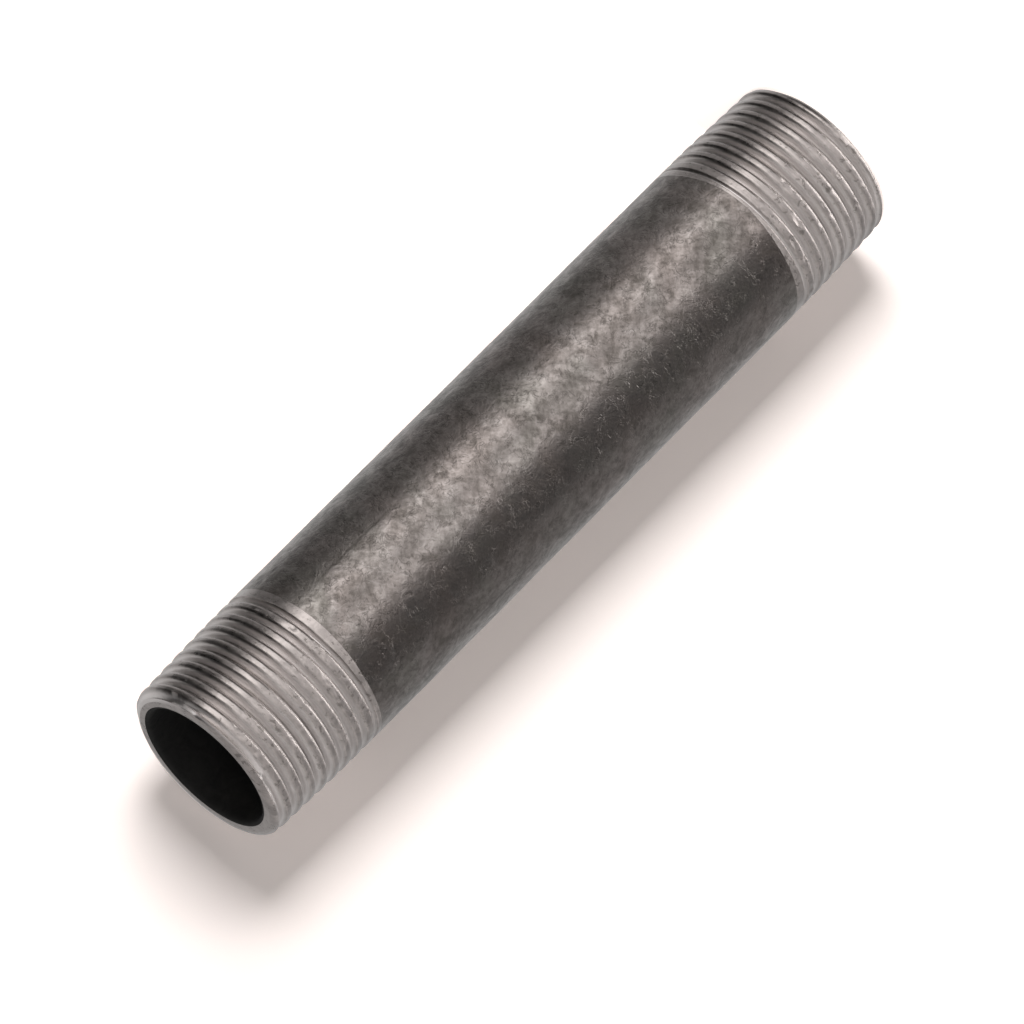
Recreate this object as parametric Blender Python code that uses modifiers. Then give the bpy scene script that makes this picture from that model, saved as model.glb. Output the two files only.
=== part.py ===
# Double nipple: a short length of steel tube with a taper pipe thread cut on each end.
# Metres, +Z up. It stands on one end, with its axis on Z and its lower face at z = 0.
from math import ceil, cos, pi, radians, sin, tan

import bmesh
import bpy
from mathutils import Vector

# Tube
TUBE_LENGTH = 0.100
TUBE_DIAMETER = 0.0210
TUBE_WALL = 0.0026

# Thread form, the same at both ends: right-hand, on a cone that widens by 1 in 16
INCH = 0.0254
THREADS_PER_INCH = 14
THREAD_DEPTH = 0.001162
FLANK_ANGLE = radians(27.5)
TAPER = 1 / 16
GAUGE_LENGTH = 0.0082
TURNED_OFF_AT_GAUGE = 0.000045

# Each thread, from its end face to the last trace of its groove. The start is the angle round
# the axis at which the middle of the groove meets the end face.
TOP_THREAD_LENGTH = 0.0164
TOP_THREAD_START = radians(44)
BOTTOM_THREAD_LENGTH = 0.0150
BOTTOM_THREAD_START = radians(312)
RUN_OUT_TURNS = 0.75

# Ends
OUTER_BEVEL = 0.00035
BORE_BEVEL = 0.0004

# Facets. The body's edges and the groove's sections lie at different angles round the axis.
BODY_SIDES = 60
GROOVE_SIDES = 30
GROOVE_OFFSET = pi / BODY_SIDES

# How far a groove cutter stands past the steel: its flanks and its back, and its turns at each end
FLANK_EXTRA = 0.0001
CUTTER_EXTRA = 0.0006
EXTRA_TURNS = 1

MERGE_DISTANCE = 0.000001
SMOOTH_LIMIT = radians(30)

STEEL_COLOUR = (0.16, 0.15, 0.145, 1.0)
STEEL_ROUGHNESS = 0.42
STEEL_METALLIC = 0.9

# Sizes that follow from those above
TUBE_RADIUS = TUBE_DIAMETER / 2
BORE_RADIUS = TUBE_RADIUS - TUBE_WALL
PITCH = INCH / THREADS_PER_INCH
GAUGE_RADIUS = TUBE_RADIUS - TURNED_OFF_AT_GAUGE / 2
FLANK_WIDTH = THREAD_DEPTH * tan(FLANK_ANGLE)
ROOT_WIDTH = PITCH / 2 - FLANK_WIDTH
CONE_LENGTH = GAUGE_LENGTH + (TUBE_RADIUS - GAUGE_RADIUS) * 2 / TAPER


def crest_radius(depth):
    """Radius of the turned cone at a distance from the end face."""
    return GAUGE_RADIUS + (depth - GAUGE_LENGTH) * TAPER / 2


def root_radius(depth, thread_length):
    """Radius of the bottom of the groove, which rises out of the steel over the last turns."""
    run_out = RUN_OUT_TURNS * PITCH
    full_depth_end = thread_length - run_out
    radius = crest_radius(min(depth, full_depth_end)) - THREAD_DEPTH
    if depth > full_depth_end:
        radius += (TUBE_RADIUS - radius) * (depth - full_depth_end) / run_out
    return radius


def turned_profile():
    """Half section of the tube before threading, down the outside and up the bore."""
    top = TUBE_LENGTH
    rim = crest_radius(0) - OUTER_BEVEL
    shoulder = crest_radius(OUTER_BEVEL)
    mouth = BORE_RADIUS + BORE_BEVEL
    return [
        (rim, top),
        (shoulder, top - OUTER_BEVEL),
        (TUBE_RADIUS, top - CONE_LENGTH),
        (TUBE_RADIUS, CONE_LENGTH),
        (shoulder, OUTER_BEVEL),
        (rim, 0),
        (mouth, 0),
        (BORE_RADIUS, BORE_BEVEL),
        (BORE_RADIUS, top - BORE_BEVEL),
        (mouth, top),
    ]


def make_collection(name):
    collection = bpy.data.collections.new(name)
    bpy.context.scene.collection.children.link(collection)
    return collection


def make_steel():
    material = bpy.data.materials.new("dark_steel")
    material.use_nodes = True
    shader = material.node_tree.nodes["Principled BSDF"]
    shader.inputs["Base Color"].default_value = STEEL_COLOUR
    shader.inputs["Roughness"].default_value = STEEL_ROUGHNESS
    shader.inputs["Metallic"].default_value = STEEL_METALLIC
    return material


def make_tube(collection):
    """The plain tube: a closed half section turned round Z."""
    points = turned_profile()
    edges = [(i, (i + 1) % len(points)) for i in range(len(points))]
    mesh = bpy.data.meshes.new("nipple_body")
    mesh.from_pydata([(radius, 0, z) for radius, z in points], edges, [])
    tube = bpy.data.objects.new("nipple_body", mesh)
    collection.objects.link(tube)
    turn = tube.modifiers.new("turn", "SCREW")
    turn.axis = "Z"
    turn.steps = BODY_SIDES
    turn.render_steps = BODY_SIDES
    turn.use_merge_vertices = True
    turn.merge_threshold = MERGE_DISTANCE
    return tube


def groove_section():
    """Outline of the groove: distance along the axis and height above the root."""
    flank_top = THREAD_DEPTH + FLANK_EXTRA
    root = ROOT_WIDTH / 2
    mouth = root + flank_top * tan(FLANK_ANGLE)
    back = flank_top + CUTTER_EXTRA
    return [(-root, 0), (root, 0), (mouth, flank_top), (mouth, back), (-mouth, back), (-mouth, flank_top)]


def make_groove_cutter(name, thread_length, start, from_top, collection):
    """One helical groove: its section is swept along a straight helix, then laid on its cone."""
    turns = ceil(thread_length / PITCH) + 2 * EXTRA_TURNS
    # Both threads are right-hand: the sweep climbs with the angle, from the lower end of its helix.
    turns_below_face = turns - EXTRA_TURNS if from_top else EXTRA_TURNS
    face_height = TUBE_LENGTH if from_top else 0
    first_angle = start - 2 * pi * turns_below_face
    first_height = face_height - PITCH * turns_below_face
    # A small step along the helix keeps the sections clear of the tube's own edges.
    step = (GROOVE_OFFSET - first_angle) % (2 * pi / GROOVE_SIDES)
    first_angle += step
    first_height += PITCH * step / (2 * pi)

    bm = bmesh.new()
    section = []
    for along, height in groove_section():
        radius = TUBE_RADIUS + height
        point = (radius * cos(first_angle), radius * sin(first_angle), first_height + along)
        section.append(bm.verts.new(point))
    face = bm.faces.new(section)
    bmesh.ops.spin(
        bm,
        geom=[face] + list(face.edges) + list(face.verts),
        cent=(0, 0, 0),
        axis=(0, 0, 1),
        dvec=(0, 0, PITCH / GROOVE_SIDES),
        angle=2 * pi * turns,
        steps=turns * GROOVE_SIDES,
        use_duplicate=False,
    )
    for vert in bm.verts:
        depth = face_height - vert.co.z if from_top else vert.co.z
        outward = Vector((vert.co.x, vert.co.y, 0))
        height = outward.length - TUBE_RADIUS
        outward = outward.normalized() * (root_radius(depth, thread_length) + height)
        vert.co = (outward.x, outward.y, vert.co.z)
    bmesh.ops.recalc_face_normals(bm, faces=bm.faces)
    mesh = bpy.data.meshes.new(name)
    bm.to_mesh(mesh)
    bm.free()
    cutter = bpy.data.objects.new(name, mesh)
    cutter.display_type = "WIRE"
    cutter.hide_render = True
    collection.objects.link(cutter)
    return cutter


def cut(body, cutter):
    """Takes the cutter's shape out of the body."""
    boolean = body.modifiers.new(cutter.name, "BOOLEAN")
    boolean.operation = "DIFFERENCE"
    boolean.solver = "EXACT"
    boolean.object = cutter


def settle(body):
    """Makes the modifiers' result the body's own mesh, smooth with crisp thread edges."""
    bpy.context.view_layer.update()
    graph = bpy.context.evaluated_depsgraph_get()
    result = bpy.data.meshes.new_from_object(body.evaluated_get(graph))
    body.modifiers.clear()
    body.data = result
    result.shade_smooth()
    result.set_sharp_from_angle(angle=SMOOTH_LIMIT)


def build():
    for old in list(bpy.data.objects):
        bpy.data.objects.remove(old, do_unlink=True)
    nipple = make_collection("double_nipple")
    cutters = make_collection("cutters")
    body = make_tube(nipple)
    top = make_groove_cutter("top_groove", TOP_THREAD_LENGTH, TOP_THREAD_START, True, cutters)
    bottom = make_groove_cutter("bottom_groove", BOTTOM_THREAD_LENGTH, BOTTOM_THREAD_START, False, cutters)
    cut(body, top)
    cut(body, bottom)
    settle(body)
    body.data.materials.clear()
    body.data.materials.append(make_steel())


build()
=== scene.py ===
# The looks of the double nipple: the tube with its true thread form, its finishes, the light and the
# camera. Metres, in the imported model's frame: the tube stands on its end, with its axis on Z.
from math import cos, pi, radians, sin, sqrt, tan

import bmesh
import bpy
import numpy as np
from mathutils import Matrix, Vector


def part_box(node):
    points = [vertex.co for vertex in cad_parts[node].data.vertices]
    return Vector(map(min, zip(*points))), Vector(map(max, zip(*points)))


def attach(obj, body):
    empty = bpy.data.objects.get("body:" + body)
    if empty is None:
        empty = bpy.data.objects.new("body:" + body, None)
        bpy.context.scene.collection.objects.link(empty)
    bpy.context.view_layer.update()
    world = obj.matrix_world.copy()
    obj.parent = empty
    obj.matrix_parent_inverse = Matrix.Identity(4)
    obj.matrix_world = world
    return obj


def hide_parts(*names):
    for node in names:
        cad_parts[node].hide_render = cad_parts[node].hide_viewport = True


# Thread form: right-hand, 14 to the inch, 55 degrees, with worn round crests. It is cut on a cone that
# widens by 1 in 16, and the steel at the gauge length is turned a little below the tube's surface.
INCH = 0.0254
THREADS_PER_INCH = 14
PITCH = INCH / THREADS_PER_INCH
FLANK_ANGLE = radians(27.5)
CREST_RADIUS = 0.00058
ROOT_RADIUS = 0.00013
HALF_CREST = CREST_RADIUS * cos(FLANK_ANGLE)
HALF_ROOT = ROOT_RADIUS * cos(FLANK_ANGLE)
TAPER = 1 / 16
GAUGE_LENGTH = 0.0082
TURNED_OFF_AT_GAUGE = 0.000045
RUN_OUT_TURNS = 0.75

# Each end: the thread from the face to the last trace of its groove, the angle at which the groove's
# middle meets the face, the length that the die has scraped bright, how far the edge of that length
# sways on its way round, and the seed of the end's random marks
TOP_END = {
    "thread_length": 0.0164, "start": radians(44), "bright_length": 0.0164, "bright_sway": 0.0,
    "seed": 11,
}
BOTTOM_END = {
    "thread_length": 0.0150, "start": radians(312), "bright_length": 0.0153, "bright_sway": 0.0004,
    "seed": 23,
}
EDGE_WOBBLE = 0.00008
WOBBLES_AROUND = 5
WOBBLE_TERMS = 6

# Section of the tube
WALL = 0.0026
OUTER_ROUNDING = 0.00105
MOUTH_ROUNDING = 0.00045
SCRAPED_STEP = 0.00003

# Shallow dents in the tube: how deep, within how many spreads, how many to a turn and how long
DENT_DEPTH = 0.000012
DENT_LIMIT = 1.5
DENTS_AROUND = 5
DENT_LENGTH = 0.012
DENT_SEED = 5

# Steel torn from the crests, in coarse and fine tears: how many to a turn, and how long. Most is torn
# on one side, where the die dragged, and only high on the ridge.
TEAR_DEPTH = 0.00014
TEAR_FADE = 0.0005
COARSE_TEARS = (26, 0.0035)
COARSE_SHARE = 0.7
FINE_TEARS = (100, 0.0008)
FINE_SHARE = 0.5
TORN_SIDE = radians(-119)
TORN_SPREAD = radians(36)
TORN_ANYWHERE = 0.45
TORN_AT_SIDE = 0.75
TEAR_THRESHOLD = 0.62
TORN_ABOVE = 0.55
TORN_RISE = 0.45

# Crests worn down towards the face, and the burr where the top thread starts
CREST_WEAR = 0.00008
WORN_LENGTH = 0.008
BURR_HEIGHT = 0.00028
BURR_ANGLE = radians(-121)
BURR_DEPTH = 0.00062
BURR_SIZE = 0.00022

# Mesh
COLUMNS = 240
ROOT_STEPS = 2
FLANK_STEPS = 3
CREST_STEPS = 6
ROUNDING_STEPS = 4
SPARE_TURNS = 2
BODY_RINGS = 28
EDGE_RING = 0.001
FACE_RINGS = (0.08, 0.5, 0.92)
BORE_RINGS = 10
BORE_END_RING = 0.0003
WELD_DISTANCE = 1e-7
CREASE_ANGLE = radians(52)

# The tube's finishes, in the order of its material slots
BLACK_SCALE, CUT_STEEL, BORE_SCALE = range(3)

# Black scale: its tones from dark to light, its faint green and brown tints, its marks, and its fine
# relief by strength and height
SCALE_TONES = (
    (0.15, (0.083, 0.073, 0.066)), (0.5, (0.143, 0.126, 0.118)), (0.85, (0.206, 0.184, 0.174)),
)
SCALE_TINTS = ((0.35, (0.97, 1.0, 0.98)), (0.5, (1.0, 1.0, 1.0)), (0.68, (1.02, 0.99, 0.98)))
SCALE_ROUGHNESS = ((0.1, 0.42), (0.9, 0.28))
SCALE_FINE_SHARE = 0.55
STROKE_SHARE = 0.55
SCRATCH_COLOUR = (0.27, 0.249, 0.236)
SCRATCH_STRENGTH = 0.4
SCRATCH_TURNS = ((0.2, 0.9, 0.3), (-0.3, -1.1, 0.1), (0.1, 0.25, 0.5))
MARK_COLOUR = (0.045, 0.040, 0.036)
VEIN_DARKNESS = 0.45
DRAWN_LINE_DARKNESS = 0.6
DRAWN_LINE_WIDTH = 0.03
DRAWN_LINE_RAGGEDNESS = 0.05
SCALE_RELIEF = (0.45, 0.00005)
SCALE_GRAIN_RELIEF = 0.3
VEIN_RELIEF = 0.4

# Each drawn line, by its angle round the axis and the heights of its two ends
DRAWN_LINES = (
    (radians(-59.3), 0.067, 0.081),
    (radians(-153), 0.058, 0.070),
    (radians(64), 0.03, 0.055),
)

# Cut steel: its crests, the painted light that makes its flanks lighter by depth in the groove, as if lit
# by light bounced between them, and its torn pits
CREST_TONES = ((0.1, (0.210, 0.188, 0.179)), (0.9, (0.285, 0.255, 0.242)))
FLANK_PAINTED_LIGHT_SHARE = ((0.12, 0.0), (0.45, 1.0), (0.86, 1.0), (0.97, 0.0))
FLANK_PAINTED_LIGHT_COLOUR = (0.50, 0.468, 0.455)
PIT_COLOUR = (0.10, 0.088, 0.080)
PIT_DARKNESS = 0.7
PITS_AT_SIDE = 0.09
CUT_ROUGHNESS = ((0.1, 0.25), (0.5, 0.40))
FLANK_ROUGHNESS = 0.08
TORN_ROUGHNESS = 0.26
CUT_RELIEF = (0.5, 0.00003)
CUT_GRAIN_RELIEF = 0.45

# Scale in the bore: its tones near black as painted shade for the inside of the tube, its shine and its
# fine relief
BORE_PAINTED_SHADE_TONES = ((0.1, (0.006, 0.0055, 0.005)), (0.9, (0.016, 0.0145, 0.013)))
BORE_SHINE = 0.15
BORE_RELIEF = (0.4, 0.00006)

# Camera: it looks at the tube's near end from above, rolled so that the tube lies across the picture
IMAGE_SIZE = 1024
SENSOR_WIDTH = 0.036
FOCAL_LENGTH = 0.347
CAMERA_DISTANCE = 1.0538
CAMERA_ELEVATION = radians(22.75)
CAMERA_ROLL = radians(-135.07)
CAMERA_NEAR = 0.01
CAMERA_FAR = 20
TUBE_MIDDLE_IN_PHOTO = (515, 456.5)

# Paper: the backdrop that the tube lies on in the photo, and the floor that it stands on
PAPER_COLOUR = (0.90, 0.82, 0.79, 1)
PAPER_GLOW = (1, 0.90, 0.85, 1)
FLOOR_SIZE = 6
FLOOR_GAP = 0.00005
FLOOR_LIFT = 0.72
BACKDROP_SIZE = 3
BACKDROP_GAP = 0.0001
BACKDROP_LIFT = 0.265
BACKDROP_AZIMUTH = radians(-19.3)

# The world is white for the camera and in reflections, and this grey for the rest
WORLD_FILL = 0.2

# Lamps, placed by azimuth and elevation in degrees. Each softbox also has its distance, width, height
# and radiance, and the sun its spread in degrees and its strength.
SOFTBOXES = {
    "backdrop_softbox": (-39, -16, 0.5, 0.25, 0.25, 15),
    "key_softbox": (-37, -8, 0.9, 0.47, 1.0, 2.5),
    "front_softbox": (3, -16, 0.9, 0.28, 0.7, 2.1),
}
FLOOR_SUN = (10, 62, 30, 2.6)

# Curved cards round the tube, which only the steel's reflections see. Each has its azimuths and its
# elevations in degrees, and its tone: 1 is white.
CARDS = {
    "upper_panel": ((-22, 22), (-4, 72), 2.1),
    "upper_right_card": ((22, 95), (-2, 72), 1.3),
    "far_upper_card": ((95, 125), (-4, 72), 1.5),
    "lower_right_panel": ((20, 110), (-86, -52), 13.0),
    "left_card": ((-125, -57), (-20, 88), 0.01),
    "steep_left_card": ((-57, -42), (24, 88), 0.01),
    "lower_left_card": ((-125, -60), (-36, -20), 0.60),
    "right_card": ((19, 80), (-49, -3), 0.01),
    "far_right_card": ((78, 150), (-36, -4), 0.52),
    "back_card": ((125, 200), (-36, 60), 0.7),
    "back_left_panel": ((200, 219), (-40, 60), 1.05),
    "low_card": ((-125, 20), (-88, -42), 0.12),
}
CARD_DISTANCE = 1.5
CARD_STEPS = 10


# Helpers

def add_object(name, data):
    thing = bpy.data.objects.new(name, data)
    bpy.context.scene.collection.objects.link(thing)
    return thing


def add_node(tree, kind, location, **settings):
    """Adds a node. A setting goes to the input of that name, or else to the node's own property."""
    node = tree.nodes.new(kind)
    node.location = location
    for name, value in settings.items():
        if name in node.inputs.keys():
            node.inputs[name].default_value = value
        else:
            setattr(node, name, value)
    return node


def feed(tree, value, socket):
    """Links an output to a socket, or gives the socket a constant or a colour."""
    if isinstance(value, bpy.types.NodeSocket):
        tree.links.new(value, socket)
    elif isinstance(value, tuple):
        socket.default_value = (*value, 1.0)
    else:
        socket.default_value = value


def calculate(tree, operation, location, *values):
    node = add_node(tree, "ShaderNodeMath", location, operation=operation)
    for socket, value in zip(node.inputs, values):
        feed(tree, value, socket)
    return node.outputs[0]


def distance_from(tree, value, centre, location):
    """How far a value lies from a centre, on either side."""
    difference = calculate(tree, "SUBTRACT", location, value, centre)
    return calculate(tree, "ABSOLUTE", (location[0] + 150, location[1]), difference)


def fade(tree, value, location, zero_at, one_at, kind="SMOOTHSTEP"):
    """0 where the value is at one limit or past it, 1 at the other, and in between on the way."""
    node = add_node(tree, "ShaderNodeMapRange", location, interpolation_type=kind)
    node.inputs["From Min"].default_value = zero_at
    node.inputs["From Max"].default_value = one_at
    feed(tree, value, node.inputs["Value"])
    return node.outputs["Result"]


def noise(tree, vector, scale, location, detail=2.0, roughness=0.6, distortion=0.0):
    node = add_node(
        tree, "ShaderNodeTexNoise", location, Detail=detail, Roughness=roughness, Distortion=distortion)
    feed(tree, vector, node.inputs["Vector"])
    feed(tree, scale, node.inputs["Scale"])
    return node.outputs[0]


def stretched_noise(tree, vector, location, turn, length, scale, detail):
    """Noise drawn out along the turned Z axis."""
    mapping = add_node(tree, "ShaderNodeMapping", location, vector_type="TEXTURE", Rotation=turn)
    mapping.inputs["Scale"].default_value = (1.0, 1.0, length)
    feed(tree, vector, mapping.inputs["Vector"])
    beside = (location[0] + 200, location[1])
    return noise(tree, mapping.outputs[0], scale, beside, detail=detail, roughness=0.55, distortion=0.3)


def split_vector(tree, vector, location):
    split = add_node(tree, "ShaderNodeSeparateXYZ", location)
    feed(tree, vector, split.inputs[0])
    return split.outputs


def ramp(tree, value, stops, location):
    """A ramp between stops, each a position with a grey or a colour."""
    node = add_node(tree, "ShaderNodeValToRGB", location)
    elements = node.color_ramp.elements
    while len(elements) < len(stops):
        elements.new(1.0)
    for element, (position, tone) in zip(elements, stops):
        element.position = position
        element.color = (*tone, 1.0) if isinstance(tone, tuple) else (tone, tone, tone, 1.0)
    feed(tree, value, node.inputs["Fac"])
    return node.outputs["Color"]


def mix_colour(tree, factor, first, second, location, blend="MIX"):
    node = add_node(tree, "ShaderNodeMix", location, data_type="RGBA", blend_type=blend)
    feed(tree, factor, node.inputs["Factor"])
    feed(tree, first, node.inputs["A"])
    feed(tree, second, node.inputs["B"])
    return node.outputs["Result"]


def new_group(name, values, masks):
    """A node group that reads a place and some values, and gives masks."""
    tree = bpy.data.node_groups.new(name, "ShaderNodeTree")
    tree.interface.new_socket("Vector", in_out="INPUT", socket_type="NodeSocketVector")
    for value_name, default in values.items():
        socket = tree.interface.new_socket(value_name, in_out="INPUT", socket_type="NodeSocketFloat")
        socket.default_value = default
    for mask_name in masks:
        tree.interface.new_socket(mask_name, in_out="OUTPUT", socket_type="NodeSocketFloat")
    start = add_node(tree, "NodeGroupInput", (-900, 0))
    end = add_node(tree, "NodeGroupOutput", (900, 0))
    return tree, start.outputs, end.inputs


def place_group(tree, group, vector, location, **values):
    """Puts a group in a material and gives its outputs. An underscore in a name stands for a space."""
    node = add_node(tree, "ShaderNodeGroup", location, node_tree=group)
    for name, value in values.items():
        node.inputs[name.replace("_", " ")].default_value = value
    feed(tree, vector, node.inputs["Vector"])
    return node.outputs


def new_material(name, metallic, roughness):
    material = bpy.data.materials.new(name)
    material.use_nodes = True
    tree = material.node_tree
    shader = tree.nodes["Principled BSDF"]
    shader.location = (900, 0)
    shader.inputs["Metallic"].default_value = metallic
    shader.inputs["Roughness"].default_value = roughness
    place = add_node(tree, "ShaderNodeTexCoord", (-900, 0))
    return material, tree, shader, place.outputs["Object"]


def emboss(tree, shader, height, strength, distance):
    """Fine relief, too small for the mesh."""
    bump = add_node(tree, "ShaderNodeBump", (600, -250), Strength=strength, Distance=distance)
    feed(tree, height, bump.inputs["Height"])
    feed(tree, bump.outputs["Normal"], shader.inputs["Normal"])


# Shared effects

def make_mottle_group():
    """Wormlike patches and a finer grain, both from 0 to 1."""
    tree, inputs, outputs = new_group(
        "mottle", {"Patch Scale": 550.0, "Grain Scale": 2400.0}, ("Patches", "Grain"))
    vector = inputs["Vector"]
    patches = noise(tree, vector, inputs["Patch Scale"], (-500, 200), detail=4.0, distortion=0.8)
    patches = fade(tree, patches, (-100, 200), zero_at=0.34, one_at=0.66, kind="LINEAR")
    grain = noise(tree, vector, inputs["Grain Scale"], (-500, -200), detail=3.0, distortion=0.6)
    grain = fade(tree, grain, (-100, -200), zero_at=0.3, one_at=0.7, kind="LINEAR")
    feed(tree, patches, outputs["Patches"])
    feed(tree, grain, outputs["Grain"])
    return tree


def make_hatching_group():
    """Short strokes that cross at about a right angle, as rolled scale shows, from 0 to 1."""
    tree, inputs, outputs = new_group("hatching", {}, ("Strokes",))
    vector = inputs["Vector"]
    rising = stretched_noise(
        tree, vector, (-550, 200), turn=(0.2, 0.8, 0.1), length=3.5, scale=1500.0, detail=2.0)
    falling = stretched_noise(
        tree, vector, (-550, -200), turn=(-0.1, -0.75, 0.2), length=3.5, scale=1700.0, detail=2.0)
    crossed = calculate(tree, "MULTIPLY", (-50, 0), rising, falling)
    strokes = fade(tree, crossed, (200, 0), zero_at=0.14, one_at=0.36, kind="LINEAR")
    feed(tree, strokes, outputs["Strokes"])
    return tree


def make_vein_group():
    """Fine dark lines that wander between lighter plates of scale, 1 on a line and 0 between them."""
    tree, inputs, outputs = new_group("veins", {"Scale": 900.0}, ("Veins",))
    vector, scale = inputs["Vector"], inputs["Scale"]
    field = noise(tree, vector, scale, (-500, 200), detail=2.5, roughness=0.55, distortion=1.4)
    off = distance_from(tree, field, 0.5, (-300, 200))
    line = fade(tree, off, (0, 200), zero_at=0.05, one_at=0.0)
    gap_scale = calculate(tree, "MULTIPLY", (-700, -300), scale, 0.8)
    gaps = noise(tree, vector, gap_scale, (-500, -200))
    there = fade(tree, gaps, (0, -200), zero_at=0.40, one_at=0.56)
    feed(tree, calculate(tree, "MULTIPLY", (300, 0), line, there), outputs["Veins"])
    return tree


def make_tear_group():
    """Small torn pits, 1 in a pit and 0 around it, and the side where the die dragged and left most."""
    tree, inputs, outputs = new_group("tears", {"Scale": 1500.0}, ("Tears", "Side"))
    place = split_vector(tree, inputs["Vector"], (-700, 0))
    angle = calculate(tree, "ARCTAN2", (-500, -200), place["Y"], place["X"])
    off = distance_from(tree, angle, TORN_SIDE, (-350, -200))
    side = fade(tree, off, (0, -200), zero_at=1.4 * TORN_SPREAD, one_at=0.4 * TORN_SPREAD)
    feed(tree, side, outputs["Side"])
    more = calculate(tree, "MULTIPLY", (150, -200), side, PITS_AT_SIDE)
    field = noise(
        tree, inputs["Vector"], inputs["Scale"], (-400, 200), detail=3.0, roughness=0.65, distortion=0.5)
    field = calculate(tree, "ADD", (150, 0), field, more)
    tears = fade(tree, field, (300, 0), zero_at=0.65, one_at=0.71)
    feed(tree, tears, outputs["Tears"])
    return tree


def make_drawn_line_group():
    """One ragged line drawn along the tube's axis at an angle, 1 on the line."""
    ends = {"Low End": 0.0, "High End": 0.1}
    tree, inputs, outputs = new_group("drawn_line", {"Angle": 0.0, "Width": 0.01, **ends}, ("Line",))
    low, high = (inputs[name] for name in ends)
    place = split_vector(tree, inputs["Vector"], (-700, 0))
    angle = calculate(tree, "ARCTAN2", (-500, 200), place["Y"], place["X"])

    grit = noise(tree, inputs["Vector"], 600.0, (-700, 400), detail=5.0, roughness=0.75)
    grit = calculate(tree, "SUBTRACT", (-500, 400), grit, 0.5)
    ragged = calculate(tree, "MULTIPLY", (-400, 400), grit, DRAWN_LINE_RAGGEDNESS)
    angle = calculate(tree, "ADD", (-300, 300), angle, ragged)
    off = distance_from(tree, angle, inputs["Angle"], (-150, 200))
    off = calculate(tree, "DIVIDE", (80, 50), off, inputs["Width"])
    across = fade(tree, off, (150, 200), zero_at=1.0, one_at=0.0)

    both = calculate(tree, "ADD", (-500, -100), low, high)
    middle = calculate(tree, "MULTIPLY", (-350, -100), both, 0.5)
    length = calculate(tree, "SUBTRACT", (-500, -300), high, low)
    half = calculate(tree, "MULTIPLY", (-350, -300), length, 0.5)
    away = distance_from(tree, place["Z"], middle, (-200, -100))
    away = calculate(tree, "DIVIDE", (50, -250), away, half)
    along = fade(tree, away, (150, -100), zero_at=1.0, one_at=0.6)
    feed(tree, calculate(tree, "MULTIPLY", (400, 0), across, along), outputs["Line"])
    return tree


def make_scratch_group():
    """Fine scratches in a few directions, 1 on a scratch and 0 between them."""
    tree, inputs, outputs = new_group("scratches", {}, ("Scratches",))
    vector = inputs["Vector"]
    total = 0.0
    for index, turn in enumerate(SCRATCH_TURNS):
        level = 350 - 350 * index
        field = stretched_noise(
            tree, vector, (-700, level), turn=turn, length=14.0, scale=1300.0, detail=0.0)
        off = distance_from(tree, field, 0.5, (-300, level))
        line = fade(tree, off, (20, level), zero_at=0.016, one_at=0.0, kind="LINEAR")
        total = calculate(tree, "MAXIMUM", (220, level), line, total)
    sparse = noise(tree, vector, 420.0, (20, -600), detail=1.0, roughness=0.5)
    sparse = fade(tree, sparse, (220, -600), zero_at=0.52, one_at=0.66, kind="LINEAR")
    feed(tree, calculate(tree, "MULTIPLY", (500, 0), total, sparse), outputs["Scratches"])
    return tree


def make_tool_mark_group():
    """Fine rings left by a cutting tool, broken up along the way round."""
    tree, inputs, outputs = new_group("tool_marks", {"Rings": 9000.0}, ("Marks",))
    place = split_vector(tree, inputs["Vector"], (-700, 0))
    square_x = calculate(tree, "MULTIPLY", (-560, 150), place["X"], place["X"])
    square_y = calculate(tree, "MULTIPLY", (-560, -50), place["Y"], place["Y"])
    square = calculate(tree, "ADD", (-400, 100), square_x, square_y)
    section = add_node(tree, "ShaderNodeCombineXYZ", (-100, 0))
    feed(tree, calculate(tree, "SQRT", (-260, 100), square), section.inputs["X"])
    feed(tree, place["Z"], section.inputs["Z"])
    rings = noise(tree, section.outputs[0], inputs["Rings"], (80, 100))
    broken = noise(tree, inputs["Vector"], 900.0, (80, -250), detail=3.0, distortion=0.5)
    feed(tree, calculate(tree, "MULTIPLY", (400, 0), rings, broken), outputs["Marks"])
    return tree


# Finishes

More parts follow.
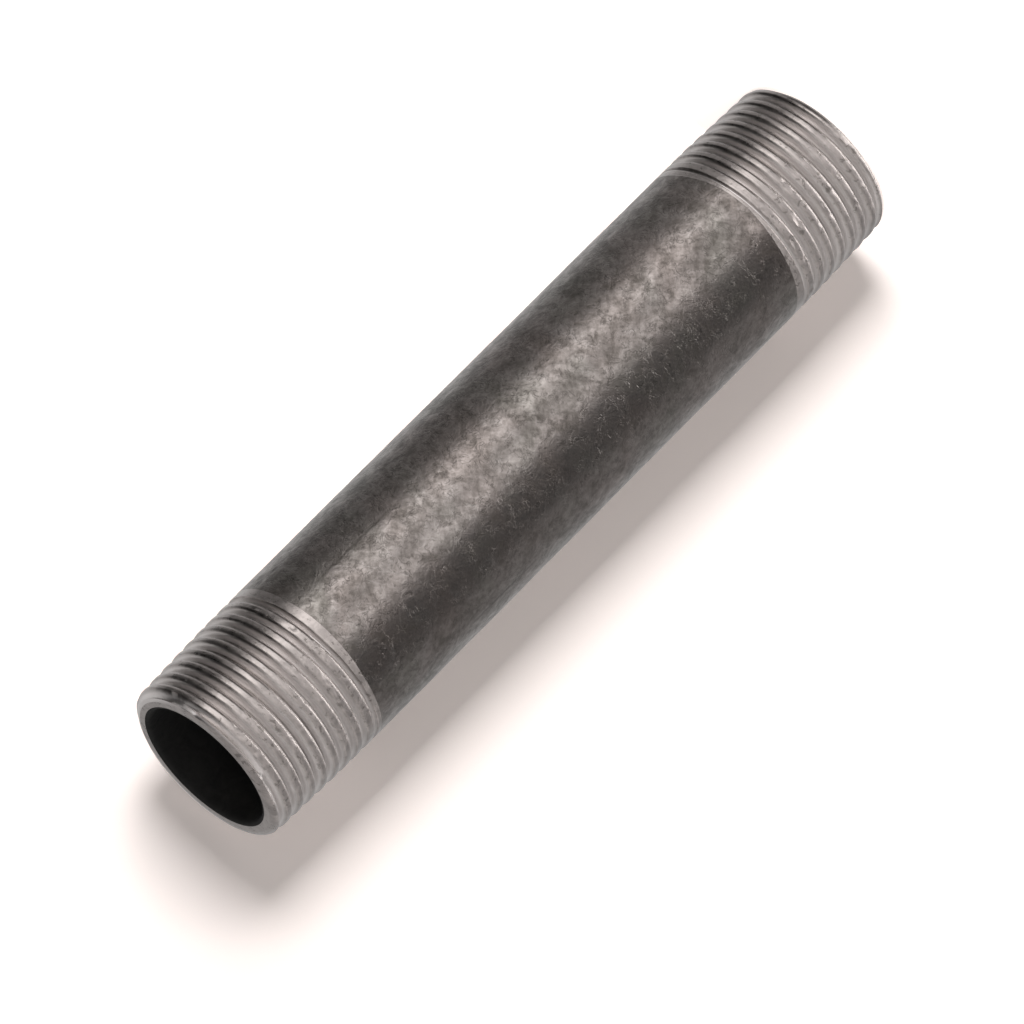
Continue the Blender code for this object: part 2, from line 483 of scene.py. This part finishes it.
def make_black_scale(effects):
    """Dark mill scale with mottled wormlike grain, scratches and faint brown and green tints."""
    material, tree, shader, vector = new_material("black_scale", metallic=1.0, roughness=0.38)
    mottle = place_group(
        tree, effects["mottle"], vector, (-600, 200), Patch_Scale=420.0, Grain_Scale=2300.0)
    scratches = place_group(tree, effects["scratches"], vector, (-600, -300))["Scratches"]
    strokes = place_group(tree, effects["hatching"], vector, (-600, 0))["Strokes"]
    veins = place_group(tree, effects["veins"], vector, (-600, 800), Scale=850.0)["Veins"]

    fine = mix_colour(tree, STROKE_SHARE, mottle["Grain"], strokes, (-420, 100))
    blend = mix_colour(tree, SCALE_FINE_SHARE, mottle["Patches"], fine, (-250, 200))
    colour = ramp(tree, blend, SCALE_TONES, (-120, 250))
    tint = noise(tree, vector, 130.0, (-350, 500), roughness=0.5, distortion=0.4)
    tint = ramp(tree, tint, SCALE_TINTS, (-120, 550))
    colour = mix_colour(tree, 1.0, colour, tint, (200, 350), "MULTIPLY")
    scratched = calculate(tree, "MULTIPLY", (300, -50), scratches, SCRATCH_STRENGTH)
    colour = mix_colour(tree, scratched, colour, SCRATCH_COLOUR, (450, 250))

    dark = calculate(tree, "MULTIPLY", (-300, 800), veins, VEIN_DARKNESS)
    for index, (angle, low_end, high_end) in enumerate(DRAWN_LINES):
        level = 1000 + 200 * index
        line = place_group(
            tree, effects["drawn_line"], vector, (-600, level),
            Angle=angle, Width=DRAWN_LINE_WIDTH, Low_End=low_end, High_End=high_end)["Line"]
        line = calculate(tree, "MULTIPLY", (-400, level), line, DRAWN_LINE_DARKNESS)
        dark = calculate(tree, "MAXIMUM", (-200, level), dark, line)
    colour = mix_colour(tree, dark, colour, MARK_COLOUR, (600, 350))
    feed(tree, colour, shader.inputs["Base Color"])
    feed(tree, ramp(tree, blend, SCALE_ROUGHNESS, (200, 0)), shader.inputs["Roughness"])

    grain = calculate(tree, "MULTIPLY", (0, -200), mottle["Grain"], SCALE_GRAIN_RELIEF)
    height = calculate(tree, "ADD", (200, -200), mottle["Patches"], grain)
    sunken = calculate(tree, "MULTIPLY", (200, -350), veins, VEIN_RELIEF)
    height = calculate(tree, "SUBTRACT", (400, -200), height, sunken)
    emboss(tree, shader, height, *SCALE_RELIEF)
    return material


def make_cut_steel(effects):
    """Bright steel as the die and the saw left it: tool marks and torn pits, with painted light that makes
    the flanks lighter than the crests and roots.
    """
    material, tree, shader, vector = new_material("cut_steel", metallic=1.0, roughness=0.36)
    marks = place_group(tree, effects["tool_marks"], vector, (-600, 0), Rings=9000.0)["Marks"]
    mottle = place_group(
        tree, effects["mottle"], vector, (-600, 300), Patch_Scale=900.0, Grain_Scale=3600.0)
    tears = place_group(tree, effects["tears"], vector, (-600, 900), Scale=1500.0)
    depth = add_node(tree, "ShaderNodeAttribute", (-600, 550), attribute_name="depth_in_groove")

    crest = ramp(tree, mottle["Patches"], CREST_TONES, (-200, 250))
    # Painted light: the flanks get a lighter colour than the crests and roots, standing in for light
    # bounced inside the groove.
    flank = ramp(tree, depth.outputs["Fac"], FLANK_PAINTED_LIGHT_SHARE, (-300, 550))
    colour = mix_colour(tree, flank, crest, FLANK_PAINTED_LIGHT_COLOUR, (200, 300))
    on_crest = fade(tree, depth.outputs["Fac"], (-300, 800), zero_at=0.45, one_at=0.1, kind="LINEAR")
    pits = calculate(tree, "MULTIPLY", (-100, 850), tears["Tears"], on_crest)
    dark = calculate(tree, "MULTIPLY", (100, 850), pits, PIT_DARKNESS)
    colour = mix_colour(tree, dark, colour, PIT_COLOUR, (400, 400))
    feed(tree, colour, shader.inputs["Base Color"])

    rough = ramp(tree, marks, CUT_ROUGHNESS, (200, 0))
    rough_flank = calculate(tree, "MULTIPLY", (200, -100), flank, FLANK_ROUGHNESS)
    rough = calculate(tree, "ADD", (400, 0), rough, rough_flank)
    rough_side = calculate(tree, "MULTIPLY", (400, -100), tears["Side"], TORN_ROUGHNESS)
    feed(tree, calculate(tree, "ADD", (550, 0), rough, rough_side), shader.inputs["Roughness"])

    grain = calculate(tree, "MULTIPLY", (200, -350), mottle["Grain"], CUT_GRAIN_RELIEF)
    height = calculate(tree, "ADD", (400, -250), marks, grain)
    height = calculate(tree, "SUBTRACT", (500, -350), height, pits)
    emboss(tree, shader, height, *CUT_RELIEF)
    return material


def make_bore_scale(effects):
    """Dark scale inside the tube, made near black as painted shade for the deep bore."""
    material, tree, shader, vector = new_material("bore_scale", metallic=0.0, roughness=0.8)
    shader.inputs["Specular IOR Level"].default_value = BORE_SHINE
    mottle = place_group(
        tree, effects["mottle"], vector, (-600, 0), Patch_Scale=420.0, Grain_Scale=1500.0)
    # Painted shade: the bore's tones are near black, for the shade inside the tube.
    feed(tree, ramp(tree, mottle["Patches"], BORE_PAINTED_SHADE_TONES, (200, 200)), shader.inputs["Base Color"])
    emboss(tree, shader, mottle["Grain"], *BORE_RELIEF)
    return material


# The threaded tube

def wave_field(angles, heights, finest_around, finest_along, seed, terms=28):
    """A smooth random field round the tube, with a spread of about 1, that closes on itself."""
    random = np.random.default_rng(seed)
    total = np.zeros(np.broadcast(angles, heights).shape)
    for _ in range(terms):
        around = random.integers(-finest_around, finest_around + 1)
        along = random.uniform(-2 * pi, 2 * pi) / finest_along
        total += np.sin(around * angles + along * heights + random.uniform(0, 2 * pi))
    return total / sqrt(terms / 2)


def angle_from(angles, centre):
    """Angles from a centre, between half a turn back and half a turn on."""
    return np.angle(np.exp(1j * (angles - centre)))


def groove_profile(across):
    """Height above the groove's bottom, at a distance along the axis from its middle."""
    across = np.abs((across + PITCH / 2) % PITCH - PITCH / 2)
    root = ROOT_RADIUS - np.sqrt(ROOT_RADIUS**2 - np.minimum(across, HALF_ROOT) ** 2)
    flank = (np.clip(across, HALF_ROOT, PITCH / 2 - HALF_CREST) - HALF_ROOT) / tan(FLANK_ANGLE)
    from_crest = np.minimum(PITCH / 2 - across, HALF_CREST)
    crest = np.sqrt(CREST_RADIUS**2 - from_crest**2) - sqrt(CREST_RADIUS**2 - HALF_CREST**2)
    return root + flank + crest


THREAD_DEPTH = float(groove_profile(PITCH / 2))


def turn_steps():
    """Distances along one pitch at which rows follow the helix: close on the arcs, wider on the flanks."""
    root = np.linspace(-HALF_ROOT, HALF_ROOT, ROOT_STEPS + 1)
    flank = np.linspace(HALF_ROOT, PITCH / 2 - HALF_CREST, FLANK_STEPS + 1)
    crest = np.linspace(PITCH / 2 - HALF_CREST, PITCH / 2 + HALF_CREST, CREST_STEPS + 1)
    back = PITCH - flank[::-1]
    return np.concatenate((root[:-1], flank[:-1], crest[:-1], back[:-1]))


def torn_crest(angles, heights, seed):
    """How much steel is torn from the crests: most on one side, where the die dragged."""
    coarse = wave_field(angles, heights, *COARSE_TEARS, seed)
    fine = wave_field(angles, heights, *FINE_TEARS, seed + 1)
    weight = TORN_ANYWHERE + TORN_AT_SIDE * np.exp(-((angle_from(angles, TORN_SIDE) / TORN_SPREAD) ** 2))
    torn = (coarse * COARSE_SHARE + fine * FINE_SHARE) * weight - TEAR_THRESHOLD
    return np.clip(torn, 0, 1) * TEAR_DEPTH


class ThreadedEnd:
    """One end of the tube. A depth is a distance from this end's face, along the axis."""

    def __init__(
            self, tube_radius, face_height, is_top, thread_length, start, bright_length, bright_sway, seed):
        self.tube_radius = tube_radius
        self.face_height = face_height
        self.is_top = is_top
        self.thread_length = thread_length
        self.start = start
        self.bright_length = bright_length
        self.bright_sway = bright_sway
        self.seed = seed

    def height(self, depth):
        return self.face_height - depth if self.is_top else self.face_height + depth

    def groove_depth(self, angles):
        """Depth at which the middle of the groove passes each angle, for one turn."""
        turn = (angles - self.start) / (2 * pi)
        return PITCH * (-turn if self.is_top else turn)

    def crest_cone(self, depth):
        return self.tube_radius - TURNED_OFF_AT_GAUGE / 2 + (depth - GAUGE_LENGTH) * TAPER / 2

    def groove_bottom(self, depth):
        """Radius of the groove's bottom, which rises out of the steel over its last turns."""
        run_out = RUN_OUT_TURNS * PITCH
        full_end = self.thread_length - run_out
        full = self.crest_cone(np.minimum(depth, full_end)) - THREAD_DEPTH
        last = self.crest_cone(full_end) - THREAD_DEPTH
        return full + np.maximum(depth - full_end, 0) / run_out * (self.tube_radius - last)

    def thread_radius(self, depth, angles, heights):
        """Radius of the threaded surface, and how deep in the groove each point lies, from 0 to 1."""
        bottom = self.groove_bottom(depth)
        rise = groove_profile(depth - self.groove_depth(angles))
        worn = CREST_WEAR * np.clip(1 - depth / WORN_LENGTH, 0, 1)
        crest = np.minimum(self.crest_cone(depth) - worn, self.tube_radius - SCRAPED_STEP)
        in_groove = np.clip(1 - (bottom + rise - (crest - THREAD_DEPTH)) / THREAD_DEPTH, 0, 1)
        on_crest = np.clip((rise / THREAD_DEPTH - TORN_ABOVE) / TORN_RISE, 0, 1)
        before_edge = np.clip((self.bright_length - TEAR_FADE - depth) / TEAR_FADE, 0, 1)
        torn = torn_crest(angles, heights, self.seed) * on_crest * before_edge
        return np.minimum(crest, bottom + rise) - torn, in_groove

    def row(self, depth, angles):
        """One row of points: radius, height and depth in the groove, with the rim's rounding."""
        depth = np.broadcast_to(depth, angles.shape).astype(float)
        heights = self.height(depth)
        radius, in_groove = self.thread_radius(depth, angles, heights)
        inside = np.clip(OUTER_ROUNDING - depth, 0, OUTER_ROUNDING)
        rounded = self.crest_cone(depth) - OUTER_ROUNDING + np.sqrt(OUTER_ROUNDING**2 - inside**2)
        radius = np.minimum(radius, rounded - CREST_WEAR)
        if self.is_top:
            aside = self.tube_radius * angle_from(angles, BURR_ANGLE)
            burr = np.exp(-((aside / BURR_SIZE) ** 2) - ((depth - BURR_DEPTH) / BURR_SIZE) ** 2)
            radius = radius + BURR_HEIGHT * burr
        return radius, heights, in_groove

    def bright_edge(self, angles):
        """Depth of the edge between the bright steel and the black scale."""
        wobble = wave_field(angles, 0.0, WOBBLES_AROUND, 1.0, self.seed + 7, WOBBLE_TERMS) * EDGE_WOBBLE
        return self.bright_length + self.bright_sway * np.cos(2 * angles) + wobble

    def rows(self, angles):
        """All rows of this end, from its face to the edge of its bright steel."""
        turns = [step / ROUNDING_STEPS * pi / 2 for step in range(ROUNDING_STEPS)]
        depths = [OUTER_ROUNDING * (1 - cos(turn)) for turn in turns]
        first = self.groove_depth(angles)
        edge = self.bright_edge(angles)
        for turn in range(-SPARE_TURNS, int(self.thread_length / PITCH) + SPARE_TURNS + 1):
            for step in turn_steps():
                depths.append(np.clip(first + turn * PITCH + step, OUTER_ROUNDING, edge - 2 * SCRAPED_STEP))
        depths.append(edge - SCRAPED_STEP)
        return [self.row(depth, angles) for depth in depths]


def tube_rows(angles, top, tube_radius):
    """All rows of the tube's closed section, down the outside and up the bore. Each has its radius,
    height and depth in the groove, and the finish of the faces from it to the next row."""
    upper = ThreadedEnd(tube_radius, top, True, **TOP_END)
    lower = ThreadedEnd(tube_radius, 0.0, False, **BOTTOM_END)
    upper_rows, lower_rows = upper.rows(angles), lower.rows(angles)
    upper_edge, lower_edge = upper.bright_edge(angles), lower.bright_edge(angles)
    flat = np.zeros_like(angles)

    rows = [(*row, CUT_STEEL) for row in upper_rows]
    shares = np.linspace(0, 1, BODY_RINGS)
    for share in (0, EDGE_RING, *shares[1:-1], 1 - EDGE_RING, 1):
        height = (top - upper_edge) * (1 - share) + lower_edge * share
        dents = wave_field(angles, height, DENTS_AROUND, DENT_LENGTH, DENT_SEED)
        radius = tube_radius - DENT_DEPTH * (DENT_LIMIT + np.clip(dents, -DENT_LIMIT, DENT_LIMIT))
        rows.append((radius, height, flat, CUT_STEEL if share == 1 else BLACK_SCALE))
    rows += [(*row, CUT_STEEL) for row in reversed(lower_rows)]

    def add_ring(radius, height, finish):
        rows.append((np.broadcast_to(radius, angles.shape), flat + height, flat, finish))

    bore_radius = tube_radius - WALL
    mouth = bore_radius + MOUTH_ROUNDING
    bore_end = MOUTH_ROUNDING + BORE_END_RING
    turns = [step / ROUNDING_STEPS * pi / 2 for step in range(ROUNDING_STEPS + 1)]
    lower_rim, upper_rim = lower_rows[0][0], upper_rows[0][0]
    for share in FACE_RINGS:
        add_ring(lower_rim + (mouth - lower_rim) * share, 0.0, CUT_STEEL)
    for turn in turns:
        add_ring(mouth - MOUTH_ROUNDING * sin(turn), MOUTH_ROUNDING * (1 - cos(turn)), BORE_SCALE)
    for share in np.linspace(0, 1, BORE_RINGS):
        add_ring(bore_radius, bore_end + share * (top - 2 * bore_end), BORE_SCALE)
    for turn in reversed(turns):
        finish = CUT_STEEL if turn == 0 else BORE_SCALE
        add_ring(mouth - MOUTH_ROUNDING * sin(turn), top - MOUTH_ROUNDING * (1 - cos(turn)), finish)
    for share in reversed(FACE_RINGS):
        add_ring(upper_rim + (mouth - upper_rim) * share, top, CUT_STEEL)
    return rows


def make_threaded_tube(materials):
    """One closed mesh, laid out in rows down the outside and up the bore. Rows on the thread follow its
    helix, so that the crests and roots stay round, and are cut off square where the thread ends."""
    _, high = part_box("nipple_body")
    angles = np.linspace(0, 2 * pi, COLUMNS + 1)
    rows = tube_rows(angles, high.z, high.x)
    radius, height, groove, finish = (np.array(part) for part in zip(*rows))
    points = np.stack((radius * np.cos(angles), radius * np.sin(angles), height), axis=-1).reshape(-1, 3)

    row_count = len(finish)
    stride = COLUMNS + 1
    row, column = np.meshgrid(np.arange(row_count), np.arange(COLUMNS), indexing="ij")
    here = row * stride + column
    below = (row + 1) % row_count * stride + column
    faces = np.stack((here, below, below + 1, here + 1), axis=-1).reshape(-1, 4)

    mesh = bpy.data.meshes.new("threaded_tube")
    mesh.from_pydata(points.tolist(), [], faces.tolist())
    mesh.polygons.foreach_set("material_index", np.repeat(finish, COLUMNS).astype(np.int32))
    attribute = mesh.attributes.new("depth_in_groove", "FLOAT", "POINT")
    attribute.data.foreach_set("value", groove.reshape(-1).astype(np.float32))

    bm = bmesh.new()
    bm.from_mesh(mesh)
    bmesh.ops.remove_doubles(bm, verts=bm.verts, dist=WELD_DISTANCE)
    bmesh.ops.recalc_face_normals(bm, faces=bm.faces)
    bm.to_mesh(mesh)
    bm.free()
    for material in materials:
        mesh.materials.append(material)
    mesh.shade_smooth()
    mesh.set_sharp_from_angle(angle=CREASE_ANGLE)
    return add_object("threaded_tube", mesh)


# The studio

def direction(azimuth, elevation):
    """Unit vector. Azimuth 0 is the camera's side, -Y, and grows towards -X."""
    return Vector((-sin(azimuth) * cos(elevation), -cos(azimuth) * cos(elevation), sin(elevation)))


def make_camera(middle):
    towards = direction(0, CAMERA_ELEVATION)
    level_right = Vector((1, 0, 0))
    level_up = towards.cross(level_right)
    right = level_right * cos(CAMERA_ROLL) + level_up * sin(CAMERA_ROLL)
    up = level_up * cos(CAMERA_ROLL) - level_right * sin(CAMERA_ROLL)
    metres_per_pixel = SENSOR_WIDTH / FOCAL_LENGTH * CAMERA_DISTANCE / IMAGE_SIZE
    aim = middle - right * (TUBE_MIDDLE_IN_PHOTO[0] - IMAGE_SIZE / 2) * metres_per_pixel
    aim = aim - up * (IMAGE_SIZE / 2 - TUBE_MIDDLE_IN_PHOTO[1]) * metres_per_pixel
    data = bpy.data.cameras.new("camera")
    data.sensor_width = SENSOR_WIDTH * 1000
    data.lens = FOCAL_LENGTH * 1000
    data.clip_start = CAMERA_NEAR
    data.clip_end = CAMERA_FAR
    camera = add_object("camera", data)
    turned = Matrix((right, up, towards)).transposed().to_4x4()
    camera.matrix_world = Matrix.Translation(aim + towards * CAMERA_DISTANCE) @ turned
    bpy.context.scene.camera = camera


def aim_lamp(lamp, towards):
    """Turns a lamp so that it shines from a direction."""
    lamp.rotation_mode = "QUATERNION"
    lamp.rotation_quaternion = towards.to_track_quat("Z", "Y")


def make_softbox(name, middle):
    azimuth, elevation, distance, width, height, radiance = SOFTBOXES[name]
    towards = direction(radians(azimuth), radians(elevation))
    data = bpy.data.lights.new(name, "AREA")
    data.shape = "RECTANGLE"
    data.size = width
    data.size_y = height
    data.energy = radiance * pi * width * height
    softbox = add_object(name, data)
    softbox.location = middle + towards * distance
    softbox.visible_camera = False
    aim_lamp(softbox, towards)
    return softbox


def make_sun(name, azimuth, elevation, spread, strength):
    """A large far lamp."""
    data = bpy.data.lights.new(name, "SUN")
    data.energy = strength
    data.angle = radians(spread)
    sun = add_object(name, data)
    aim_lamp(sun, direction(radians(azimuth), radians(elevation)))
    return sun


def light_only(lamp, lit):
    """Keeps a lamp's light on one object."""
    receivers = bpy.data.collections.new(lamp.name + "_lights")
    receivers.objects.link(lit)
    lamp.light_linking.receiver_collection = receivers


def make_glow(name, tone):
    """A material that glows with one grey."""
    material = bpy.data.materials.new(name)
    material.use_nodes = True
    tree = material.node_tree
    tree.nodes.clear()
    glow = add_node(tree, "ShaderNodeEmission", (0, 0), Color=(tone, tone, tone, 1))
    out = add_node(tree, "ShaderNodeOutputMaterial", (300, 0))
    feed(tree, glow.outputs[0], out.inputs["Surface"])
    return material


def make_card(name, middle, azimuths, elevations, tone):
    """A curved card of one grey, which only reflections see."""
    points, faces = [], []
    for row in range(CARD_STEPS + 1):
        elevation = radians(elevations[0] + (elevations[1] - elevations[0]) * row / CARD_STEPS)
        for column in range(CARD_STEPS + 1):
            azimuth = radians(azimuths[0] + (azimuths[1] - azimuths[0]) * column / CARD_STEPS)
            points.append(middle + direction(azimuth, elevation) * CARD_DISTANCE)
    for row in range(CARD_STEPS):
        for column in range(CARD_STEPS):
            corner = row * (CARD_STEPS + 1) + column
            faces.append((corner, corner + 1, corner + CARD_STEPS + 2, corner + CARD_STEPS + 1))
    mesh = bpy.data.meshes.new(name)
    mesh.from_pydata(points, [], faces)
    mesh.materials.append(make_glow(name, tone))
    card = add_object(name, mesh)
    card.visible_camera = False
    card.visible_diffuse = False
    card.visible_shadow = False
    card.visible_transmission = False


def make_paper(name, lift):
    """Pale matt paper that lifts to white for the camera, and can be seen through from behind."""
    material = bpy.data.materials.new(name)
    material.use_nodes = True
    tree = material.node_tree
    shader = tree.nodes["Principled BSDF"]
    shader.inputs["Base Color"].default_value = PAPER_COLOUR
    shader.inputs["Roughness"].default_value = 1.0
    shader.inputs["Specular IOR Level"].default_value = 0.0
    shader.inputs["Emission Color"].default_value = PAPER_GLOW
    path = add_node(tree, "ShaderNodeLightPath", (-500, -300))
    lifted = calculate(tree, "MULTIPLY", (-200, -300), path.outputs["Is Camera Ray"], lift)
    feed(tree, lifted, shader.inputs["Emission Strength"])
    clear = add_node(tree, "ShaderNodeBsdfTransparent", (300, -300))
    side = add_node(tree, "ShaderNodeNewGeometry", (0, 300))
    both = add_node(tree, "ShaderNodeMixShader", (600, 0))
    feed(tree, side.outputs["Backfacing"], both.inputs["Fac"])
    feed(tree, shader.outputs[0], both.inputs[1])
    feed(tree, clear.outputs[0], both.inputs[2])
    feed(tree, both.outputs[0], tree.nodes["Material Output"].inputs["Surface"])
    return material


def make_sheet(name, centre, normal, across, size, lift):
    """A flat square sheet of paper that lights and reflections pass through."""
    up = normal.cross(across)
    sides = ((-1, -1), (1, -1), (1, 1), (-1, 1))
    corners = [centre + across * x * size / 2 + up * y * size / 2 for x, y in sides]
    mesh = bpy.data.meshes.new(name)
    mesh.from_pydata(corners, [], [(0, 1, 2, 3)])
    mesh.materials.append(make_paper(name + "_paper", lift))
    sheet = add_object(name, mesh)
    sheet.visible_diffuse = False
    sheet.visible_glossy = False
    sheet.visible_shadow = False
    sheet.visible_transmission = False
    return sheet


def make_world():
    """White for the camera and in reflections, and a softer fill for the rest."""
    world = bpy.data.worlds.new("studio")
    bpy.context.scene.world = world
    world.use_nodes = True
    tree = world.node_tree
    background = tree.nodes["Background"]
    background.inputs["Color"].default_value = (1, 1, 1, 1)
    path = add_node(tree, "ShaderNodeLightPath", (-700, 0)).outputs
    seen = calculate(tree, "MAXIMUM", (-500, 0), path["Is Camera Ray"], path["Is Glossy Ray"])
    seen = calculate(tree, "MAXIMUM", (-300, 0), seen, path["Is Transmission Ray"])
    strength = add_node(tree, "ShaderNodeMapRange", (-150, 0))
    strength.inputs["To Min"].default_value = WORLD_FILL
    feed(tree, seen, strength.inputs["Value"])
    feed(tree, strength.outputs["Result"], background.inputs["Strength"])


def make_studio(middle, tube_radius, tube):
    make_world()
    up = Vector((0, 0, 1))
    facing = direction(BACKDROP_AZIMUTH, 0)
    floor = make_sheet("floor", -up * FLOOR_GAP, up, Vector((1, 0, 0)), FLOOR_SIZE, FLOOR_LIFT)
    behind = middle - facing * (tube_radius + BACKDROP_GAP)
    backdrop = make_sheet("backdrop", behind, facing, up.cross(facing), BACKDROP_SIZE, BACKDROP_LIFT)
    light_only(make_softbox("backdrop_softbox", middle), backdrop)
    light_only(make_sun("floor_sun", *FLOOR_SUN), floor)
    light_only(make_softbox("key_softbox", middle), tube)
    light_only(make_softbox("front_softbox", middle), tube)
    for name, (azimuths, elevations, tone) in CARDS.items():
        make_card(name, middle, azimuths, elevations, tone)


# The scene

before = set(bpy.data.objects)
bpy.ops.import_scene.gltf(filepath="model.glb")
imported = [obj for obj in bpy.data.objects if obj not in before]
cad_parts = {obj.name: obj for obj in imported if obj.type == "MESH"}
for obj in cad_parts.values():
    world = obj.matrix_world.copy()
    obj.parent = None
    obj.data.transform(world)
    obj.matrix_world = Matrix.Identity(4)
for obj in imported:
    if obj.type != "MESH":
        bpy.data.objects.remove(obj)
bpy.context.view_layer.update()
lowest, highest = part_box("nipple_body")
tube_middle = Vector((0, 0, (lowest.z + highest.z) / 2))

effects = {
    "mottle": make_mottle_group(),
    "hatching": make_hatching_group(),
    "veins": make_vein_group(),
    "tears": make_tear_group(),
    "drawn_line": make_drawn_line_group(),
    "scratches": make_scratch_group(),
    "tool_marks": make_tool_mark_group(),
}
finishes = [make_black_scale(effects), make_cut_steel(effects), make_bore_scale(effects)]
tube = make_threaded_tube(finishes)
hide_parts("nipple_body")
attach(tube, "root")

make_studio(tube_middle, highest.x, tube)
make_camera(tube_middle)
bpy.context.scene.view_settings.view_transform = "Standard"
